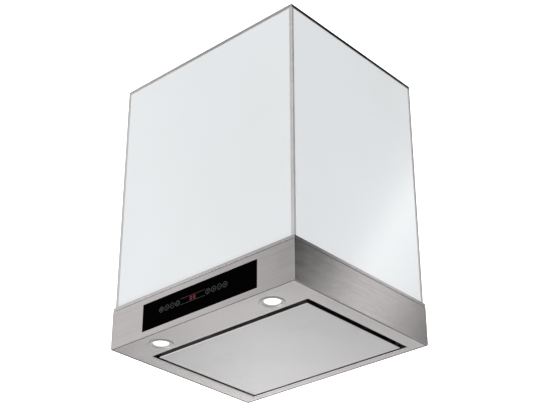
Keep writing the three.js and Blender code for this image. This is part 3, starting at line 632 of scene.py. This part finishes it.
def makePanel():
    low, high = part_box("suction_panel")
    bm = blockMesh(low, high)
    top = [f for f in bm.faces if f.normal.z > 0.5]
    bmesh.ops.delete(bm, geom=top, context="FACES_ONLY")
    folds = [e for e in bm.edges if not e.is_boundary]
    roundEdges(bm, folds, 1.5 * mm, 4)
    rim = boundaryAt(bm, lambda co: co.z > high.z - 0.0001)
    lip = pullEdges(bm, rim, (0, 0, 0))
    middle = (low + high) / 2
    half = (high - low) / 2
    reach = 8 * mm
    bmesh.ops.translate(bm, vec=(-middle.x, -middle.y, 0), verts=lip)
    bmesh.ops.scale(bm, vec=((half.x - reach) / half.x, (half.y - reach) / half.y, 1), verts=lip)
    bmesh.ops.translate(bm, vec=(middle.x, middle.y, 0), verts=lip)
    panel = keepPiece("panel_tray", bm, finish["panel"], "panel", ["suction_panel"])
    addSheet(panel, 1.0 * mm)
    addSoftEdges(panel, 0.2 * mm, 1)
    for side in ("left", "right"):
        softened("panel_stiffener_" + side, finish["zinc"], 0.4 * mm, 2)
        softened("hinge_bracket_" + side, finish["blackPaint"], 0.5 * mm, 2)
        softened("hinge_pin_" + side, finish["blackPaint"], 0.3 * mm, 2)
        softened("panel_magnet_" + side, finish["blackPaint"], 0.6 * mm, 2)


makePanel()
print("suction panel made")


# grease filters: a folded frame round layers of expanded aluminium

filterSizes = {"rim": 14 * mm, "lip": 1.6 * mm, "sink": 2.2 * mm, "strand": 1.1 * mm, "strandTall": 0.9 * mm,
               "pitch": 6.2 * mm, "slope": 33, "rivet": 2.2}


def strands(bm, low, high, z, degrees):
    s = filterSizes
    middle = (low + high) / 2
    reach = math.hypot(high.x - low.x, high.y - low.y) / 2 + 0.01
    count = int(2 * reach / s["pitch"])
    made = bmesh.new()
    for index in range(count):
        cube = bmesh.ops.create_cube(made, size=1)["verts"]
        bmesh.ops.scale(made, vec=(2 * reach, s["strand"], s["strandTall"]), verts=cube)
        bmesh.ops.translate(made, vec=(0, (index - count / 2 + 0.5) * s["pitch"], 0), verts=cube)
    spin = Matrix.Rotation(math.radians(degrees), 3, "Z")
    bmesh.ops.rotate(made, cent=(0, 0, 0), matrix=spin, verts=made.verts)
    bmesh.ops.translate(made, vec=(middle.x, middle.y, z), verts=made.verts)
    for point, normal in ((low, (-1, 0, 0)), (low, (0, -1, 0)), (high, (1, 0, 0)), (high, (0, 1, 0))):
        geom = list(made.verts) + list(made.edges) + list(made.faces)
        cut = bmesh.ops.bisect_plane(made, geom=geom, plane_co=point, plane_no=normal, clear_outer=True)
        rim = [g for g in cut["geom_cut"] if isinstance(g, bmesh.types.BMEdge)]
        bmesh.ops.holes_fill(made, edges=rim, sides=0)
    scratch = bpy.data.meshes.new("scratch")
    made.to_mesh(scratch)
    made.free()
    bm.from_mesh(scratch)
    bpy.data.meshes.remove(scratch)


def makeFilter(side):
    s = filterSizes
    node = "grease_filter_" + side
    body = bodyOf[node]
    low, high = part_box(node)
    frameBody = softened(node, finish["alloy"], 0.8 * mm, 3, "filter_frame_" + side)
    frameBody.data.materials.append(finish["meshLayersAndShade"])
    # faces deep in the frame's recess take the dark mesh colour: layered mesh with painted shade
    for face in frameBody.data.polygons:
        deep = low.z + s["sink"] < face.center.z < high.z - s["sink"]
        face.material_index = 1 if deep and abs(face.normal.z) > 0.9 else 0
    inset = Vector((s["rim"], s["rim"], 0))
    deeper = Vector((0, s["rim"], 0))
    meshLow, meshHigh = low + inset + deeper, high - inset
    layers = bmesh.new()
    for z in (low.z + s["sink"], high.z - s["sink"]):
        strands(layers, meshLow, meshHigh, z, s["slope"])
        strands(layers, meshLow, meshHigh, z + 0.3 * mm, -s["slope"])
    bmesh.ops.recalc_face_normals(layers, faces=layers.faces)
    keepPiece("filter_mesh_" + side, layers, finish["alloyMesh"], body)
    # turned-in edge of the frame round the mesh, on both faces
    for face, z in (("lower", low.z), ("upper", high.z)):
        inward = 1 if face == "lower" else -1
        step = Vector((s["lip"], s["lip"], 0))
        rim = stripWithHoles(
            corners(meshLow.x - s["lip"], meshHigh.x + s["lip"], meshLow.y - s["lip"], meshHigh.y + s["lip"]),
            [corners(meshLow.x + s["lip"], meshHigh.x - s["lip"], meshLow.y + s["lip"], meshHigh.y - s["lip"])],
            z + inward * 0.9 * mm)
        grown = bmesh.ops.extrude_face_region(rim, geom=list(rim.faces))["geom"]
        bmesh.ops.translate(rim, vec=(0, 0, inward * 0.8 * mm),
                            verts=[g for g in grown if isinstance(g, bmesh.types.BMVert)])
        bmesh.ops.recalc_face_normals(rim, faces=rim.faces)
        roundEdges(rim, sharpEdges(rim, 50), 0.3 * mm, 2)
        keepPiece("filter_hem_" + face + "_" + side, rim, finish["alloy"], body)
    rivets = bmesh.new()
    across = (s["rim"] / 2, high.x - low.x - s["rim"] / 2)
    for dx in across:  # only at the front, because the back edge rests on its ledge
        rivetHead(rivets, Vector((low.x + dx, low.y + s["rim"] / 2, low.z)), (0, 0, -1), s["rivet"], 0.3)
    keepPiece("filter_rivets_" + side, rivets, finish["screw"], body)


def rivetHead(bm, point, facing, radius=2.6, height=0.9):
    # a domed head with the small sunk middle of a blind rivet
    shape = [(0.001, -0.2), (radius, -0.2), (radius, height * 0.25), (radius * 0.82, height * 0.7),
             (radius * 0.5, height), (radius * 0.36, height), (radius * 0.3, height * 0.55), (0.001, height * 0.5)]
    head = spun(shape, (0, 0, 0), steps=14)
    turn = Vector((0, 0, 1)).rotation_difference(Vector(facing)).to_matrix().to_4x4()
    bmesh.ops.transform(head, matrix=Matrix.Translation(point) @ turn, verts=head.verts)
    scratch = bpy.data.meshes.new("scratch")
    head.to_mesh(scratch)
    head.free()
    bm.from_mesh(scratch)
    bpy.data.meshes.remove(scratch)


for side in ("left", "right"):
    makeFilter(side)
print("filters made")


# everything above the panel

def makeInside():
    sheet = ["filter_frame", "filter_seat", "blower_box", "blower_scroll", "outlet_collar", "ceiling_plate",
             "motor_bracket", "fan_motor"]
    for end in ("front", "back"):
        sheet += ["upright_" + end + "_left", "upright_" + end + "_right", "brace_" + end]
    sheet += ["brace_left", "brace_right"]
    for node in sheet:
        softened(node, finish["zinc"], 0.35 * mm, 2)
    for node in ("damper_flap_front", "damper_flap_back"):
        softened(node, finish["alloy"], 0.3 * mm, 2)
    for node in ("flap_pin", "impeller_shaft"):
        softened(node, finish["groundSteel"], 0.3 * mm, 2)
    for node in ("impeller", "cable_gland", "filter_latch_left", "filter_latch_right"):
        softened(node, finish["darkPlastic"], 0.4 * mm, 2)
    for node in ("terminal_box", "lamp_driver"):
        softened(node, finish["greyPlastic"], 1.2 * mm, 3)


makeInside()
print("inside made")


# blind rivets on the panel's stiffeners, the hinge brackets and the braces

rivetSizes = {"endInset": 16 * mm, "footInset": 4.5 * mm, "footTop": 1.0 * mm, "bracketRise": 17 * mm,
              "bracketSpread": 9 * mm, "braceEnd": 11 * mm, "braceSpread": 8 * mm, "head": 2.4}


def makeRivets():
    s = rivetSizes
    onPanel = bmesh.new()
    onHood = bmesh.new()
    for side, facing in (("left", 1), ("right", -1)):
        low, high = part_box("panel_stiffener_" + side)
        for x in (low.x + s["footInset"], high.x - s["footInset"]):
            for y in (low.y + s["endInset"], (low.y + high.y) / 2, high.y - s["endInset"]):
                rivetHead(onPanel, Vector((x, y, low.z + s["footTop"])), (0, 0, 1), s["head"])
        low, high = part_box("hinge_bracket_" + side)
        for y in (-s["bracketSpread"], s["bracketSpread"]):
            x = high.x if facing > 0 else low.x
            place = Vector((x, (low.y + high.y) / 2 + y, low.z + s["bracketRise"]))
            rivetHead(onHood, place, (facing, 0, 0), s["head"])
        braceRivets(onHood, "brace_" + side, 1, (facing, 0, 0))
    for end, facing in (("front", 1), ("back", -1)):
        braceRivets(onHood, "brace_" + end, 0, (0, facing, 0))
    keepPiece("panel_rivets", onPanel, finish["screw"], "panel")
    keepPiece("hood_rivets", onHood, finish["screw"])


def braceRivets(bm, node, along, facing):
    low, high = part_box(node)
    middle = (low + high) / 2
    for end in (low[along] + rivetSizes["braceEnd"], high[along] - rivetSizes["braceEnd"]):
        for rise in (-rivetSizes["braceSpread"], rivetSizes["braceSpread"]):
            place = Vector((middle.x, middle.y, middle.z + rise))
            place[along] = end
            across = 1 - along
            place[across] = high[across] if facing[across] > 0 else low[across]
            rivetHead(bm, place, facing, rivetSizes["head"])


makeRivets()
print("rivets made")


for piece in pieces:  # flat faces stay flat up to their rounded edges
    even = piece.modifiers.new("normals", "WEIGHTED_NORMAL")
    even.keep_sharp = True
print("normals settled on", len(pieces), "pieces")


# studio

studio = {"floor": -4.2, "reach": 17, "camera": (1.9417, -2.1676, -1.990), "azimuth": 41.868,
          "elevation": -29.208, "lens": 85.65}


def stageObject(name, bm, mat):
    mesh = bpy.data.meshes.new(name)
    bm.to_mesh(mesh)
    bm.free()
    mesh.materials.append(mat)
    thing = bpy.data.objects.new(name, mesh)
    bpy.context.scene.collection.objects.link(thing)
    return thing


def makeStage():
    bm = bmesh.new()
    bmesh.ops.create_circle(bm, cap_ends=True, segments=96, radius=studio["reach"],
                            matrix=Matrix.Translation((0, 0, studio["floor"])))
    pale, tree, bsdf = startMaterial("pale_floor", (0.64, 0.64, 0.636), 0.0, 0.7)
    shade = noise(tree, (1.5, 1.5, 1.5), 2.0, 0.5)
    tree.links.new(colourFrom(tree, shade, (0.62, 0.62, 0.616), (0.66, 0.66, 0.656)), bsdf.inputs["Base Color"])
    stageObject("floor", bm, pale)
    bm = bmesh.new()
    bmesh.ops.create_uvsphere(bm, u_segments=64, v_segments=32, radius=studio["reach"])
    white, tree, bsdf = startMaterial("white_backdrop", (1, 1, 1), 0.0, 1.0)
    bsdf.inputs["Emission Color"].default_value = (1, 1, 1, 1)
    bsdf.inputs["Emission Strength"].default_value = 1.0
    dome = stageObject("backdrop", bm, white)
    dome.visible_glossy = False
    dome.visible_diffuse = False
    dome.visible_transmission = False
    dome.visible_shadow = False
    floorCard("dark_card", (-7.7, 4.2), (3.9, 4.4), 0.03)
    floorCard("grey_card", (-4.2, 6.0), (1.7, 6.0), 0.46)


def floorCard(name, middle, size, shade):
    # a card on the floor that only reflections see
    bm = bmesh.new()
    bmesh.ops.create_grid(bm, x_segments=1, y_segments=1, size=0.5)
    bmesh.ops.scale(bm, vec=(*size, 1), verts=bm.verts)
    bmesh.ops.translate(bm, vec=(*middle, studio["floor"] + 0.02), verts=bm.verts)
    card = stageObject(name, bm, startMaterial(name, (shade, shade, shade), 0.0, 0.8)[0])
    card.visible_camera = False
    card.visible_diffuse = False
    card.visible_shadow = False


def areaLight(name, place, target, wide, tall, power, colour=(1, 1, 1)):
    data = bpy.data.lights.new(name, "AREA")
    data.shape = "RECTANGLE"
    data.size, data.size_y = wide, tall
    data.energy = power
    data.color = colour
    lamp = bpy.data.objects.new(name, data)
    lamp.location = place
    lamp.rotation_euler = (Vector(target) - Vector(place)).to_track_quat("-Z", "Y").to_euler()
    lamp.visible_camera = False
    bpy.context.scene.collection.objects.link(lamp)


# brightness of the room: below half a share it runs with X from -1 to 0, above half with Y from -1 to 1
room = {0.0: 0.94, 0.12: 0.95, 0.16: 0.93, 0.182: 0.88, 0.20: 0.64, 0.214: 0.50, 0.24: 0.62, 0.32: 0.96, 0.5: 1.02,
        0.80: 1.42, 0.865: 1.2, 0.885: 0.2, 0.905: 0.01, 0.9205: 0.01, 0.9255: 0.36, 0.9305: 1.76,
        0.9345: 1.0, 0.9395: 0.10, 0.946: 0.20, 0.965: 1.3, 1.0: 1.3}


def makeLight():
    world = bpy.data.worlds.new("studio")
    bpy.context.scene.world = world
    world.use_nodes = True
    tree = world.node_tree
    way = newNode(tree, "ShaderNodeTexCoord")
    parts = newNode(tree, "ShaderNodeSeparateXYZ")
    rightward = newNode(tree, "ShaderNodeMath", operation="GREATER_THAN")
    choice = newNode(tree, "ShaderNodeMix", data_type="FLOAT")
    ramp = newNode(tree, "ShaderNodeValToRGB")
    ramp.color_ramp.interpolation = "EASE"
    stops = ramp.color_ramp.elements
    for index, (place, bright) in enumerate(room.items()):
        stop = stops[index] if index < 1 else (stops.new(place) if place < 1 else stops[len(stops) - 1])
        stop.position = place
        stop.color = (bright * 0.99, bright * 0.995, bright, 1)
    tree.links.new(way.outputs["Generated"], parts.inputs["Vector"])
    tree.links.new(parts.outputs["X"], rightward.inputs[0])
    rightward.inputs[1].default_value = 0
    tree.links.new(rightward.outputs[0], choice.inputs["Factor"])
    tree.links.new(spread(tree, parts.outputs["X"], 0, 0.5, -1, 0), choice.inputs["A"])
    tree.links.new(spread(tree, parts.outputs["Y"], 0.5, 1, -1, 1), choice.inputs["B"])
    tree.links.new(choice.outputs["Result"], ramp.inputs["Fac"])
    tree.links.new(ramp.outputs["Color"], tree.nodes["Background"].inputs["Color"])
    areaLight("floor_wash", (-7.4, 8.0, -1.8), (-7.4, 8.2, -4.2), 3.6, 3.6, 270)
    areaLight("front_floor", (-2.9, -1.9, -4.1), (-0.4, -0.3, -0.8), 2.5, 3.0, 70)


def makeCamera():
    data = bpy.data.cameras.new("camera")
    data.sensor_width = 36
    data.lens = studio["lens"]
    data.clip_end = 50
    camera = bpy.data.objects.new("camera", data)
    az, el = math.radians(studio["azimuth"]), math.radians(studio["elevation"])
    back = Vector((math.sin(az) * math.cos(el), -math.cos(az) * math.cos(el), math.sin(el)))
    camera.location = studio["camera"]
    camera.rotation_euler = back.to_track_quat("Z", "Y").to_euler()
    bpy.context.scene.collection.objects.link(camera)
    bpy.context.scene.camera = camera
    bpy.context.scene.view_settings.view_transform = "Standard"


makeStage()
makeLight()
makeCamera()
print("studio made")
